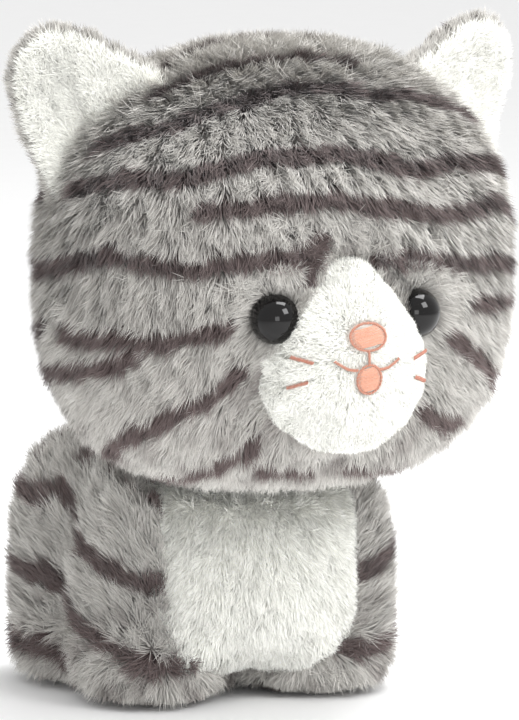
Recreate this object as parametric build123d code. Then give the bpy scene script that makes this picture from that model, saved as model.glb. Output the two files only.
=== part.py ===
from build123d import *
import os
from math import cos, pi, sin

# A plush cat standing on four stub legs, facing -Y, about 203 mm (8 in) tall.
# Soft covers are modelled as their backing plus the body of the pile; the
# filling, the pellet pouch and the washers behind the eyes lie inside them.
# Millimetres, +Z up, origin on the floor under the middle of the cat.

# ---- Driving sizes ---------------------------------------------------------
COVER = 6.0               # backing and pile of a plush cover
GAP = 0.3                 # room left between a cover and the filling inside it

HEAD = (0.0, -25.6, 131.0)         # centre of the head
HEAD_HALF = (69.0, 57.5, 64.5)     # half width, half depth, half height
CROWN_FULLNESS = 2.35              # 2 is an ellipse, more is squarer
JOWL_FULLNESS = 2.7

TORSO = (0.0, HEAD[1] + 46.0, 44.0)
TORSO_HALF = (46.0, 48.0, 33.0)
TORSO_CORNER = 34.0       # rounding of the torso's upright corners
TORSO_ROUND = 24.0        # rounding along the torso's back and belly
FORELEG = {"x": 24.5, "y": HEAD[1] + 31.0, "radius": 23.0, "top": 62.0, "round": 16.0}
HINDLEG = {"x": 28.0, "y": HEAD[1] + 70.0, "radius": 24.0, "top": 68.0, "round": 18.0}
FOOT_ROUND = 3.0          # rounding of a leg's lower end
SOLE = 4.0                # thickness of the pad under each foot
SOLE_RADIUS = 19.0
SOLE_ROUND = 2.5

SEAT_RADIUS = 75.0        # the hollow across the shoulders that the head sits over
SEAT_BOTTOM = 60.5
NECK = (0.0, HEAD[1] + 20.0, 70.0)
NECK_BALL = 11.0
NECK_STEM = 9.0
NECK_FOOT = 50.0          # height of the stem's lower end
NECK_SLACK = 0.35

MUZZLE = (0.0, HEAD[1] - 40.0, HEAD[2] - 20.0)
MUZZLE_HALF = (30.0, 27.5, 34.0)
MUZZLE_OUTLINE = [(0, 8), (8, 1), (17, -13), (25, -29), (21, -42), (9, -49), (0, -50)]

SIDE_SEAM = 30.0          # distance of the crown's seams from the middle
BACK_SEAM = 22.0          # how far behind the head's centre its back panel starts
CHIN_SEAM = -18.0         # height of the chin's seam from the head's centre

CHEST_HALF_WIDTH = 29.0
CHEST_BOTTOM = 11.0
CHEST_DEPTH = 24.0        # how far behind the head's centre the chest panel ends
GUSSET_HALF_WIDTH = 24.0
GUSSET_TOP = 20.0
GUSSET_SPAN = (HEAD[1] + 14.0, HEAD[1] + 84.0)
BAND_CORNER = 12.0

POUCH = (0.0, HEAD[1] + 68.0, 35.0)
POUCH_HALF = (30.0, 17.0, 16.0)

EYE = (24.0, -10.0)       # from the head's centre: to the side, and up
EYE_RADIUS = 7.0
EYE_DOME = 6.0
EYE_DEPTH = 3.5           # how deep the dome's base sits in the pile
EYE_RIM = 1.0
SHANK_RADIUS = 1.9
SHANK_LENGTH = 7.5
WASHER_RADIUS = 6.0
WASHER_THICKNESS = 1.5

THREAD_LIFT = 0.1         # gap under the satin stitching
THREAD_HEIGHT = 1.2
NOSE = (5.5, 4.0)         # half width and half height
NOSE_UP = -14.8           # heights are from the head's centre
TONGUE_RADIUS = 4.1
TONGUE_UP = -26.0
MOUTH_LINE = 1.1
MOUTH_CURVE = [(-9.4, -21.4), (-6.2, -23.6), (-2.9, -23.3)]
PHILTRUM = (-19.2, -22.0)
WHISKERS = [((15.2, -21.8), (20.2, -20.4)), ((16.2, -27.2), (20.6, -28.8))]
WHISKER_WIDTH = 1.1

EAR_FOOT = (-68.0, 8.0, 15.0)      # outer end of the ear's root, from the head's centre
EAR_TURN = 20.0                    # degrees the ear's opening faces outwards
EAR_LEAN = 49.5                    # degrees the root line climbs towards the crown
EAR_OUTLINE = [(0, -8), (4, 14), (16, 30), (33, 39), (46, 33), (52, 13), (56, -8)]
EAR_CUP = 60.0                     # radius that the ear is cupped to
EAR_CUP_CENTRE = (30.0, 14.0)
EAR_OUTER = 5.5                    # thickness of the back and its pile
EAR_INNER = 3.5                    # thickness of the lining and its pile
EAR_ROOM = 3.2                     # room between the ear and the head as it folds

TAIL_ROOT = (0.0, HEAD[1] + 101.0, 38.0)
TAIL_TIP = (0.0, HEAD[1] + 112.0, 70.0)
TAIL_RADIUS = 8.0
TAIL_COVER = 4.5

BIG = 400.0               # larger than the whole toy


def pillow(centre, half, top_fullness, bottom_fullness, grow=0.0):
    """A stuffed shape: a squared-off oval spun round Z and flattened along Y."""
    wide, deep, tall = (size + grow for size in half)
    steps = 8
    outline = []
    for step in range(-steps, steps + 1):
        angle = step / steps * pi / 2
        power = 2 / (top_fullness if step > 0 else bottom_fullness)
        out = abs(cos(angle)) ** power if abs(step) < steps else 0.0
        up = abs(sin(angle)) ** power
        outline.append((wide * out, tall * up * (1 if step > 0 else -1)))
    edge = Spline(*outline, tangents=[(1, 0), (-1, 0)])
    face = make_face(Plane.XZ * (edge + Line(outline[-1], outline[0])))
    body = scale(revolve(face, Axis.Z), by=(1, deep / wide, 1))
    return Pos(*centre) * body


def block(low, high):
    """A box between two corners."""
    size = [b - a for a, b in zip(low, high)]
    return Pos(*low) * Box(*size, align=(Align.MIN, Align.MIN, Align.MIN))


def at_head(x, y, z):
    """A place given from the head's centre."""
    return (HEAD[0] + x, HEAD[1] + y, HEAD[2] + z)


# ---- Head ------------------------------------------------------------------
def head_shape(grow=0.0):
    """The stuffed head without its muzzle."""
    return pillow(HEAD, HEAD_HALF, CROWN_FULLNESS, JOWL_FULLNESS, grow)


def muzzle_shape(grow=0.0):
    """The muzzle that bulges from the lower face."""
    return pillow(MUZZLE, MUZZLE_HALF, 2, 2, grow)


def face_and_head(grow=0.0):
    """The stuffed head and its muzzle as one bag."""
    return head_shape(grow) + muzzle_shape(grow)


def muzzle_prism():
    """The pear-shaped outline of the white patch, run through the face."""
    half = MUZZLE_OUTLINE
    other = [(-x, z) for x, z in reversed(half[1:-1])]
    face = make_face(Spline(*half, *other, periodic=True))
    plane = Plane(at_head(0, 0, 0), x_dir=(1, 0, 0), z_dir=(0, -1, 0))
    return extrude(plane * face, BIG / 2)


def head_surface(x, z):
    """Where the cover's outer face lies in front of a side and height, and its normal."""
    wide, deep, tall = HEAD_HALF
    power = CROWN_FULLNESS if z > 0 else JOWL_FULLNESS
    radius = (1 - abs(z / tall) ** power) ** (1 / power)
    y = -deep * (radius**2 - (x / wide) ** 2) ** 0.5
    across = radius ** (power - 2)
    normal = Vector(
        across * x / wide**2,
        across * y / deep**2,
        abs(z / tall) ** (power - 1) / tall * (1 if z > 0 else -1),
    )
    return at_head(x, y, z), normal.normalized()


def eye_plane(side):
    """Plane of the back of an eye's dome, facing out of the head."""
    place, normal = head_surface(side * EYE[0], EYE[1])
    return Plane(Vector(*place) - normal * EYE_DEPTH, z_dir=normal)


def eye(side):
    """A domed safety eye on a plain shank."""
    ball = (EYE_RADIUS**2 + EYE_DOME**2) / (2 * EYE_DOME)
    up = (Align.CENTER, Align.CENTER, Align.MIN)
    dome = Pos(0, 0, EYE_DOME - ball) * Sphere(ball) & Cylinder(2 * EYE_RADIUS, BIG, align=up)
    rim = Pos(0, 0, -EYE_RIM) * Cylinder(EYE_RADIUS, EYE_RIM, align=up)
    shank = Pos(0, 0, -EYE_RIM - SHANK_LENGTH) * Cylinder(SHANK_RADIUS, SHANK_LENGTH, align=up)
    return eye_plane(side) * (dome + rim + shank)


def washer(side):
    """The flat washer that holds an eye, behind the cover's backing."""
    depth = EYE_DEPTH - COVER - GAP - WASHER_THICKNESS
    disc = Cylinder(WASHER_RADIUS, WASHER_THICKNESS) - Cylinder(SHANK_RADIUS + 0.05, BIG)
    return eye_plane(side) * (Pos(0, 0, depth + WASHER_THICKNESS / 2) * disc)


def eye_room(side):
    """What an eye, its shank and its washer need clear of cover and filling."""
    up = (Align.CENTER, Align.CENTER, Align.MIN)
    pocket = Pos(0, 0, -EYE_RIM) * Cylinder(EYE_RADIUS + 0.2, BIG / 4, align=up)
    hole = Pos(0, 0, -EYE_RIM - SHANK_LENGTH - GAP) * Cylinder(SHANK_RADIUS + 0.1, BIG / 4, align=up)
    depth = EYE_DEPTH - COVER - 2 * GAP - WASHER_THICKNESS
    behind = Pos(0, 0, depth) * Cylinder(WASHER_RADIUS + GAP, WASHER_THICKNESS + 2 * GAP, align=up)
    return eye_plane(side) * (pocket + hole), eye_plane(side) * behind


def head_parts():
    """The head's cover in panels, its filling and its eyes."""
    socket = Pos(*NECK) * Sphere(NECK_BALL + NECK_SLACK)
    cover = face_and_head() - face_and_head(-COVER) - socket
    filling = face_and_head(-COVER - GAP) - socket
    parts = {}
    for name, side in (("left", 1), ("right", -1)):
        parts[f"eye_{name}"] = eye(side)
        parts[f"eye_washer_{name}"] = washer(side)
        through, behind = eye_room(side)
        cover -= through
        filling -= through + behind
    parts["head_stuffing"] = filling

    patch = muzzle_prism()
    parts["muzzle_patch"] = cover & patch
    rest = cover - patch
    x, y, z = HEAD
    seam, back, chin = x + SIDE_SEAM, y + BACK_SEAM, z + CHIN_SEAM
    parts["head_back_panel"] = rest & block((-BIG, back, 0), (BIG, BIG, BIG))
    parts["head_crown_panel"] = rest & block((-seam, -BIG, chin), (seam, back, BIG))
    parts["chin_panel"] = rest & block((-seam, -BIG, 0), (seam, back, chin))
    parts["head_side_left"] = rest & block((seam, -BIG, 0), (BIG, back, BIG))
    parts["head_side_right"] = rest & block((-BIG, -BIG, 0), (-seam, back, BIG))
    return parts


def stitched(prism):
    """Satin stitching: what a prism through the muzzle leaves just outside it."""
    outside = muzzle_shape(THREAD_LIFT + THREAD_HEIGHT) - muzzle_shape(THREAD_LIFT)
    return outside & prism


def face_prism(sketch):
    """A sketch in side-and-height from the head's centre, run forwards."""
    plane = Plane(at_head(0, MUZZLE[1] - HEAD[1], 0), x_dir=(1, 0, 0), z_dir=(0, -1, 0))
    return extrude(plane * sketch, BIG / 2, dir=(0, -1, 0))


def embroidery():
    """The nose, tongue, mouth and whisker stitching."""
    nose = Pos(0, NOSE_UP) * Ellipse(*NOSE)
    tongue = Pos(0, TONGUE_UP) * Circle(TONGUE_RADIUS)
    line = trace(Spline(*MOUTH_CURVE), MOUTH_LINE)
    drop = trace(Line((0, PHILTRUM[0]), (0, PHILTRUM[1])), MOUTH_LINE)
    mouth = line + mirror(line, Plane.YZ) + drop - offset(tongue, GAP) - offset(nose, GAP)
    whiskers = Sketch() + [
        trace(Line((side * inner[0], inner[1]), (side * outer[0], outer[1])), WHISKER_WIDTH)
        for inner, outer in WHISKERS
        for side in (1, -1)
    ]
    return {
        "nose_embroidery": stitched(face_prism(nose)),
        "tongue_embroidery": stitched(face_prism(tongue)),
        "mouth_embroidery": stitched(face_prism(mouth)),
        "whisker_stitches": stitched(face_prism(whiskers)),
    }


# ---- Ears ------------------------------------------------------------------
def ear_plane():
    """The right ear's root line as X, out of the head as Y, the opening as Z."""
    forward = Vector(0, -1, 0).rotate(Axis.Z, -EAR_TURN)
    level = Vector(1, 0, 0).rotate(Axis.Z, -EAR_TURN)
    along = level.rotate(Axis((0, 0, 0), forward), EAR_LEAN)
    return Plane(at_head(*EAR_FOOT), x_dir=along, z_dir=forward)


def ears():
    """Both ears, each a white lining sewn inside a grey back, cupped forwards."""
    plane = ear_plane()
    outline = make_face(Spline(*EAR_OUTLINE) + Line(EAR_OUTLINE[-1], EAR_OUTLINE[0]))
    prism = extrude(outline, EAR_CUP / 2, both=True)
    ball = Pos(*EAR_CUP_CENTRE, EAR_CUP)
    back = prism & (ball * Sphere(EAR_CUP + EAR_OUTER)) - ball * Sphere(EAR_CUP)
    lining = prism & (ball * Sphere(EAR_CUP)) - ball * Sphere(EAR_CUP - EAR_INNER)
    room = head_shape(EAR_ROOM)
    parts = {}
    for name, shape in (("outer", back), ("inner", lining)):
        right = plane * shape - room
        parts[f"ear_right_{name}"] = right
        parts[f"ear_left_{name}"] = mirror(right, Plane.YZ)
    return parts


# ---- Body ------------------------------------------------------------------
def rounded_column(centre, radius, low, high, low_round, high_round):
    """An upright stuffed column with rounded ends."""
    height = high - low
    column = Pos(centre[0], centre[1], low + height / 2) * Cylinder(radius, height)
    rims = column.edges().filter_by(GeomType.CIRCLE).sort_by(Axis.Z)
    column = fillet(rims[0], low_round)
    return fillet(column.edges().filter_by(GeomType.CIRCLE).sort_by(Axis.Z)[-1], high_round)


def torso_block(grow):
    """The trunk: a deep cushion rounded along every edge."""
    wide, deep, tall = (size + grow for size in TORSO_HALF)
    block_shape = Pos(*TORSO) * Box(2 * wide, 2 * deep, 2 * tall)
    block_shape = fillet(block_shape.edges().filter_by(Axis.Z), TORSO_CORNER + grow)
    flat = block_shape.faces().filter_by(Axis.Z).edges()
    return fillet(flat, TORSO_ROUND + grow)


def body_shape(floor, grow=0.0):
    """Torso, shoulders with forelegs and haunches with hindlegs, as one bag above a height."""
    shape = torso_block(grow)
    for leg in (FORELEG, HINDLEG):
        for side in (1, -1):
            shape += rounded_column(
                (side * leg["x"], leg["y"]),
                leg["radius"] + grow,
                floor,
                leg["top"] + grow,
                FOOT_ROUND,
                leg["round"] + grow,
            )
    return shape


def head_seat(grow=0.0):
    """The hollow across the shoulders, clear of the head as it nods and turns."""
    centre = (0, HEAD[1], SEAT_BOTTOM + SEAT_RADIUS)
    return Pos(*centre) * Rot(0, 90, 0) * Cylinder(SEAT_RADIUS + grow, BIG)


def upright_band(half_width, bottom, top, start, end):
    """A block with rounded lower corners, seen from the front."""
    shape = block((-half_width, start, bottom), (half_width, end, top))
    low_edges = shape.edges().filter_by(Axis.Y).group_by(Axis.Z)[0]
    return fillet(low_edges, BAND_CORNER)


def body_parts():
    """The body's cover in panels, the sole pads, the filling and the pellets."""
    neck_hole = Pos(0, NECK[1], NECK_FOOT - NECK_SLACK) * Cylinder(
        NECK_BALL + NECK_SLACK, BIG, align=(Align.CENTER, Align.CENTER, Align.MIN)
    )
    tail_seat = Pos(*TAIL_ROOT) * Sphere(TAIL_RADIUS + 2 * GAP)
    room = head_seat() + neck_hole + tail_seat
    seat_inside = head_seat(COVER) + neck_hole
    inside = body_shape(SOLE, -COVER) - seat_inside
    cover = body_shape(SOLE) - room - inside

    chest = upright_band(CHEST_HALF_WIDTH, CHEST_BOTTOM, BIG, -BIG, HEAD[1] + CHEST_DEPTH)
    gusset = block(
        (-GUSSET_HALF_WIDTH, GUSSET_SPAN[0], 0), (GUSSET_HALF_WIDTH, GUSSET_SPAN[1], GUSSET_TOP)
    )
    sides = cover - chest - gusset
    pouch = pillow(POUCH, POUCH_HALF, 2, 2)
    pouch_room = pillow(POUCH, POUCH_HALF, 2, 2, GAP)
    filling_room = head_seat(COVER + GAP) + neck_hole + pouch_room
    parts = {
        "chest_panel": cover & chest,
        "underside_gusset": (cover - chest) & gusset,
        "body_side_left": sides & block((0, -BIG, 0), (BIG, BIG, BIG)),
        "body_side_right": sides & block((-BIG, -BIG, 0), (0, BIG, BIG)),
        "body_stuffing": body_shape(SOLE + GAP, -COVER - GAP) - filling_room,
        "pellet_pouch": pouch,
    }
    for name, leg in (("front", FORELEG), ("hind", HINDLEG)):
        for word, side in (("left", 1), ("right", -1)):
            pad = Pos(side * leg["x"], leg["y"], SOLE / 2) * Cylinder(SOLE_RADIUS, SOLE)
            rim = pad.edges().filter_by(GeomType.CIRCLE).sort_by(Axis.Z)[0]
            parts[f"sole_{name}_{word}"] = fillet(rim, SOLE_ROUND)
    return parts


def neck():
    """The column of filling that passes through the neck seam."""
    stem = Pos(0, NECK[1], NECK_FOOT) * Cylinder(
        NECK_STEM, NECK[2] - NECK_FOOT, align=(Align.CENTER, Align.CENTER, Align.MIN)
    )
    return {"neck_stuffing": stem + Pos(*NECK) * Sphere(NECK_BALL)}


# ---- Tail ------------------------------------------------------------------
def capsule(start, end, radius):
    """A round-ended rod between two points."""
    line = Line(start, end)
    rod = extrude(Plane(start, z_dir=line % 0) * Circle(radius), line.length)
    return rod + Pos(*start) * Sphere(radius) + Pos(*end) * Sphere(radius)


def tail():
    """The tail's cover and the filling inside it."""
    whole = capsule(TAIL_ROOT, TAIL_TIP, TAIL_RADIUS)
    return {
        "tail_cover": whole - capsule(TAIL_ROOT, TAIL_TIP, TAIL_RADIUS - TAIL_COVER),
        "tail_stuffing": capsule(TAIL_ROOT, TAIL_TIP, TAIL_RADIUS - TAIL_COVER - GAP),
    }


def main():
    """Build every piece and write it to its own file."""
    os.makedirs("parts", exist_ok=True)
    parts = {**head_parts(), **embroidery(), **ears(), **body_parts(), **neck(), **tail()}
    for name, shape in parts.items():
        export_step(shape, f"parts/{name}.step")


main()
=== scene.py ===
"""A striped plush cat: pile covers, stitched face, domed eyes, ears and tail.

Lengths inside the classes are millimetres; meshes are written in metres.
"""
import logging
import math
from dataclasses import dataclass, field
from enum import Enum
from functools import partial
from typing import Callable

import bpy
import numpy as np
from mathutils import Matrix, Vector

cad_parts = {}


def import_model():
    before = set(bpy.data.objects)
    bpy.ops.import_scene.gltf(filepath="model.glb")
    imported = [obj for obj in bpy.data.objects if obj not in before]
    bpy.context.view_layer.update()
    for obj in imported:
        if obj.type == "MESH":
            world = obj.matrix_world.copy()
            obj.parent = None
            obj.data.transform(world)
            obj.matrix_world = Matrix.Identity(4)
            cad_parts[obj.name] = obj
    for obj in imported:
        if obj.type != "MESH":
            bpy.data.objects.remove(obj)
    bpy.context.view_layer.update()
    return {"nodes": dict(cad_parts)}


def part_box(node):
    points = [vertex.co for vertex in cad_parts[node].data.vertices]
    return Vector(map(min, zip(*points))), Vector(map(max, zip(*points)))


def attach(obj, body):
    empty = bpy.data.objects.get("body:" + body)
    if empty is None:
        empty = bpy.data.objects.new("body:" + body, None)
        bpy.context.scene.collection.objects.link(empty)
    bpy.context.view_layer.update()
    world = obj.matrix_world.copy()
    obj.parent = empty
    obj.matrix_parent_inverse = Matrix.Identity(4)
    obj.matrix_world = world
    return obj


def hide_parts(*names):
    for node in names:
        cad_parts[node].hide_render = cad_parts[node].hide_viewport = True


MM = 0.001
HEAD_DEPTH = 57.5     # half the head's depth
HEAD_HEIGHT = 64.5    # half its height
EYE_SEAT = 3.5        # how deep an eye's dome sits in the pile
BACKING = 6.0         # how far the backing lies under the tips of the pile
NOSE = ((0.0, -14.8), (5.2, 3.7))      # middle and half sizes, from the head's centre
TONGUE = ((0.4, -26.6), (3.5, 3.9))
WHISKERS = (((15.2, -21.8), (20.4, -20.2)), ((16.2, -27.2), (20.8, -28.9)))
MOUTH_HALF, MOUTH_RUN = 9.6, 6.4       # half width of the mouth, and length of each side
MOUTH_TOP, MOUTH_SAG = -21.3, 2.6
STITCH = 0.85                          # length of a stitch across a face line
TAIL_ROUND = 8.0                       # radius of the tail with its pile
LOG = logging.getLogger("plush_cat")
Array = np.ndarray


class Body(Enum):
    """The moving bodies of the toy."""

    TRUNK = "root"
    HEAD = "head"
    EAR_LEFT = "ear_left"
    EAR_RIGHT = "ear_right"
    TAIL = "tail"


# ---- Small shared tools ------------------------------------------------------
def unit(vectors: Array) -> Array:
    """Scale each vector to length one."""
    return vectors / np.maximum(np.linalg.norm(vectors, axis=-1, keepdims=True), 1e-9)


def smoothstep(low: float, high: float, value: Array) -> Array:
    """Rise smoothly from 0 at low to 1 at high."""
    share = np.clip((value - low) / (high - low), 0.0, 1.0)
    return share * share * (3 - 2 * share)


def brushed(comb: Array, normal: Array) -> Array:
    """The part of each brushing direction that lies along the cover."""
    return comb - (comb * normal).sum(axis=1, keepdims=True) * normal


def quick_share() -> float:
    """The share of strands to grow: all of them."""
    return 1.0


def ripple(points: Array, scale: float, seed: int = 0) -> Array:
    """Soft waves that look unplanned, from -1 to 1.

    Args:
        points: Places in millimetres.
        scale: Rough size of one wave in millimetres.
        seed: Which set of waves.

    Returns:
        One value for each place.
    """
    random = np.random.default_rng(seed + 100)
    total = np.zeros(len(points))
    for _ in range(6):
        direction = unit(random.normal(size=3)) * random.uniform(0.7, 1.6) * 2 * math.pi / scale
        total += np.sin(points @ direction + random.uniform(0, 2 * math.pi))
    return total / 3.2


def distance_to_lines(points: Array, lines: list[list[tuple[float, float, float]]]) -> Array:
    """Distance from each point to the nearest of several lines.

    Args:
        points: Places in millimetres.
        lines: Each a list of places that the line runs through.

    Returns:
        One distance for each place.
    """
    best = np.full(len(points), 1e9)
    for line in lines:
        for start, end in zip(line, line[1:]):
            a, b = np.array(start, float), np.array(end, float)
            along = b - a
            share = np.clip((points - a) @ along / (along @ along), 0, 1)
            gap = np.linalg.norm(points - a - share[:, None] * along, axis=1)
            best = np.minimum(best, gap)
    return best


def deselect() -> None:
    """Leave nothing selected."""
    for thing in bpy.context.selected_objects:
        thing.select_set(False)


def choose(thing: bpy.types.Object) -> None:
    """Select one object alone and make it active."""
    deselect()
    thing.select_set(True)
    bpy.context.view_layer.objects.active = thing


def coordinates(thing: bpy.types.Object) -> Array:
    """The places of an object's vertices, in millimetres."""
    flat = np.empty(len(thing.data.vertices) * 3)
    thing.data.vertices.foreach_get("co", flat)
    return flat.reshape(-1, 3) / MM


def vertex_normals(thing: bpy.types.Object) -> Array:
    """The outward direction at each vertex of an object."""
    flat = np.empty(len(thing.data.vertices) * 3)
    thing.data.vertex_normals.foreach_get("vector", flat)
    return flat.reshape(-1, 3)


def place(thing: bpy.types.Object, points: Array) -> None:
    """Move an object's vertices to places given in millimetres."""
    thing.data.vertices.foreach_set("co", (points * MM).ravel())
    thing.data.update()


def apply_modifiers(thing: bpy.types.Object) -> None:
    """Apply every modifier of an object, in order."""
    choose(thing)
    for modifier in list(thing.modifiers):
        bpy.ops.object.modifier_apply(modifier=modifier.name)


def remove_vertices(thing: bpy.types.Object, unwanted: Array) -> None:
    """Delete the vertices that a mask picks out."""
    choose(thing)
    bpy.ops.object.mode_set(mode="EDIT")
    bpy.ops.mesh.select_all(action="DESELECT")
    bpy.ops.object.mode_set(mode="OBJECT")
    thing.data.vertices.foreach_set("select", unwanted)
    bpy.ops.object.mode_set(mode="EDIT")
    bpy.ops.mesh.delete(type="VERT")
    bpy.ops.object.mode_set(mode="OBJECT")


def face_outwards(thing: bpy.types.Object, weld: float = 0.0) -> None:
    """Turn every face outwards, after welding vertices closer than a distance in metres."""
    choose(thing)
    bpy.ops.object.mode_set(mode="EDIT")
    bpy.ops.mesh.select_all(action="SELECT")
    if weld:
        bpy.ops.mesh.remove_doubles(threshold=weld)
    bpy.ops.mesh.normals_make_consistent(inside=False)
    bpy.ops.object.mode_set(mode="OBJECT")


def fasten(piece: bpy.types.Object, body: Body) -> None:
    """Fasten a piece to its moving body."""
    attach(piece, body.value)
    LOG.info("made %s", piece.name)


def new_ball(name: str, fineness: int) -> bpy.types.Object:
    """An even ball of triangles of radius 1 mm at the origin."""
    deselect()
    bpy.ops.mesh.primitive_ico_sphere_add(subdivisions=fineness, radius=MM)
    ball = bpy.context.object
    ball.name = name
    ball.data.name = name
    return ball


def mesh_object(name: str, points: Array, faces: list[Array]) -> bpy.types.Object:
    """Make an object from places in millimetres and arrays of faces."""
    mesh = bpy.data.meshes.new(name)
    loops = np.concatenate([face.ravel() for face in faces]).astype(np.int32)
    sizes = np.concatenate([np.full(len(face), face.shape[1]) for face in faces])
    starts = np.concatenate([[0], np.cumsum(sizes)[:-1]]).astype(np.int32)
    mesh.vertices.add(len(points))
    mesh.vertices.foreach_set("co", (points * MM).ravel())
    mesh.loops.add(len(loops))
    mesh.loops.foreach_set("vertex_index", loops)
    mesh.polygons.add(len(starts))
    mesh.polygons.foreach_set("loop_start", starts)
    mesh.update(calc_edges=True)
    mesh.validate()
    thing = bpy.data.objects.new(name, mesh)
    bpy.context.scene.collection.objects.link(thing)
    return thing


def set_value(thing: bpy.types.Object, name: str, values: Array) -> None:
    """Store one number for each vertex under a name that materials read."""
    layer = thing.data.attributes.new(name, "FLOAT", "POINT")
    layer.data.foreach_set("value", values.astype(np.float32))


def smooth(thing: bpy.types.Object) -> None:
    """Shade every face smoothly."""
    thing.data.polygons.foreach_set("use_smooth", np.ones(len(thing.data.polygons), bool))
    thing.data.update()


# ---- Materials -----------------------------------------------------------------
class Sheet:
    """A node tree being filled in."""

    def __init__(self, tree: bpy.types.NodeTree) -> None:
        """Keep the tree that nodes are added to."""
        self.tree = tree

    def add(self, kind: str, **values: object) -> bpy.types.Node:
        """Add a node, set its properties, and set or link its inputs.

        Args:
            kind: The node's type.
            values: Properties by name, and under inputs a dict of input values or sockets.

        Returns:
            The new node.
        """
        node = self.tree.nodes.new(kind)
        inputs = values.pop("inputs", {})
        for name, value in values.items():
            setattr(node, name, value)
        for name, value in inputs.items():
            socket = node.inputs[name]
            if isinstance(value, bpy.types.NodeSocket):
                self.tree.links.new(value, socket)
            else:
                socket.default_value = value
        return node

    def attribute(self, name: str) -> bpy.types.NodeSocket:
        """A named value stored on the mesh."""
        return self.add("ShaderNodeAttribute", attribute_name=name).outputs["Fac"]

    def mix(self, share: object, first: object, second: object) -> bpy.types.NodeSocket:
        """Mix two colours."""
        node = self.add("ShaderNodeMix", data_type="RGBA")
        for index, value in ((0, share), (6, first), (7, second)):
            if isinstance(value, bpy.types.NodeSocket):
                self.tree.links.new(value, node.inputs[index])
            else:
                node.inputs[index].default_value = value
        return node.outputs[2]

    def math(self, operation: str, first: object, second: object) -> bpy.types.NodeSocket:
        """Combine two numbers."""
        return self.add("ShaderNodeMath", operation=operation, inputs={0: first, 1: second}).outputs[0]


def colour(red: float, green: float, blue: float) -> tuple[float, float, float, float]:
    """An opaque colour."""
    return (red, green, blue, 1.0)


def fibre_group() -> bpy.types.NodeTree:
    """The shared effect that gives pile its darker roots, paler tips and uneven dye; the darker roots are
    partly the strands' own darker base and partly painted shade deep in the pile.
    """
    found = bpy.data.node_groups.get("fibre_shade")
    if found:
        return found
    group = bpy.data.node_groups.new("fibre_shade", "ShaderNodeTree")
    for name, kind in (("Dye", "NodeSocketColor"), ("Tip", "NodeSocketColor"), ("Along", "NodeSocketFloat"),
                       ("Tint", "NodeSocketFloat"), ("Depth", "NodeSocketFloat")):
        group.interface.new_socket(name, in_out="INPUT", socket_type=kind)
    group.interface.new_socket("Color", in_out="OUTPUT", socket_type="NodeSocketColor")
    sheet = Sheet(group)
    source = sheet.add("NodeGroupInput").outputs
    place_of = sheet.add("ShaderNodeTexCoord").outputs["Object"]
    clouds = sheet.add("ShaderNodeTexNoise", inputs={"Vector": place_of, "Scale": 90.0, "Detail": 3.0})
    tipped = sheet.mix(sheet.math("POWER", source["Along"], 2.2), source["Dye"], source["Tip"])
    shade = sheet.math("ADD", sheet.math("MULTIPLY", source["Tint"], 0.34), 0.80)
    patch = sheet.math("ADD", sheet.math("MULTIPLY", clouds.outputs["Fac"], 0.22), 0.90)
    # Painted shade: Depth darkens each strand towards its root, partly for its own darker base and partly for
    # the shade deep in the pile; it fades out along the strand.
    root = sheet.math("SUBTRACT", 1.0, source["Depth"])
    root_dye_and_painted_shade = sheet.math("MINIMUM", sheet.math("ADD", root, sheet.math("MULTIPLY", source["Along"], 1.3)), 1.0)
    level = sheet.math("MULTIPLY", sheet.math("MULTIPLY", shade, patch), root_dye_and_painted_shade)
    tone = sheet.add("ShaderNodeHueSaturation", inputs={"Color": tipped, "Value": level})
    end = sheet.add("NodeGroupOutput")
    group.links.new(tone.outputs[0], end.inputs[0])
    return group


def start_material(name: str) -> tuple[bpy.types.Material, Sheet, bpy.types.Node]:
    """A new material with its node sheet and its Principled shader."""
    material = bpy.data.materials.new(name)
    material.use_nodes = True
    return material, Sheet(material.node_tree), material.node_tree.nodes["Principled BSDF"]


@dataclass(frozen=True)
class PileFinish:
    """Dyed pile: ground and stripe colours, each with a paler tip and a darker root; the darker root is partly
    the dye and partly painted shade.
    """

    name: str
    ground: tuple[float, float, float, float]
    ground_tip: tuple[float, float, float, float]
    stripe: tuple[float, float, float, float]
    stripe_tip: tuple[float, float, float, float]
    # depth: how much darker a strand is at its root, partly its darker base and partly painted shade deep in
    # the pile.
    depth: float = 0.35

    def build(self) -> bpy.types.Material:
        """Make the material that strands and backing share."""
        found = bpy.data.materials.get(self.name)
        if found:
            return found
        material, sheet, shader = start_material(self.name)
        stripe = sheet.attribute("stripe")
        dye = sheet.mix(stripe, self.ground, self.stripe)
        tip = sheet.mix(stripe, self.ground_tip, self.stripe_tip)
        tone = sheet.add("ShaderNodeGroup")
        tone.node_tree = fibre_group()
        for name, value in (("Dye", dye), ("Tip", tip), ("Along", sheet.attribute("along")),
                            ("Tint", sheet.attribute("tint"))):
            sheet.tree.links.new(value, tone.inputs[name])
        # Painted shade at the strands' roots, partly their own darker base.
        tone.inputs["Depth"].default_value = self.depth
        sheet.tree.links.new(tone.outputs[0], shader.inputs["Base Color"])
        place_of = sheet.add("ShaderNodeTexCoord").outputs["Object"]
        nap = sheet.add("ShaderNodeTexNoise", inputs={"Vector": place_of, "Scale": 700.0, "Detail": 4.0})
        bump = sheet.add("ShaderNodeBump", inputs={"Height": nap.outputs["Fac"], "Strength": 0.25,
                                                   "Distance": 0.0004})
        rough = sheet.add("ShaderNodeMapRange", inputs={"Value": nap.outputs["Fac"], "To Min": 0.62,
                                                        "To Max": 0.85})
        sheet.tree.links.new(rough.outputs[0], shader.inputs["Roughness"])
        sheet.tree.links.new(bump.outputs[0], shader.inputs["Normal"])
        shader.inputs["Sheen Weight"].default_value = 0.25
        shader.inputs["Sheen Roughness"].default_value = 0.45
        shader.inputs["Specular IOR Level"].default_value = 0.25
        return material


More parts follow.
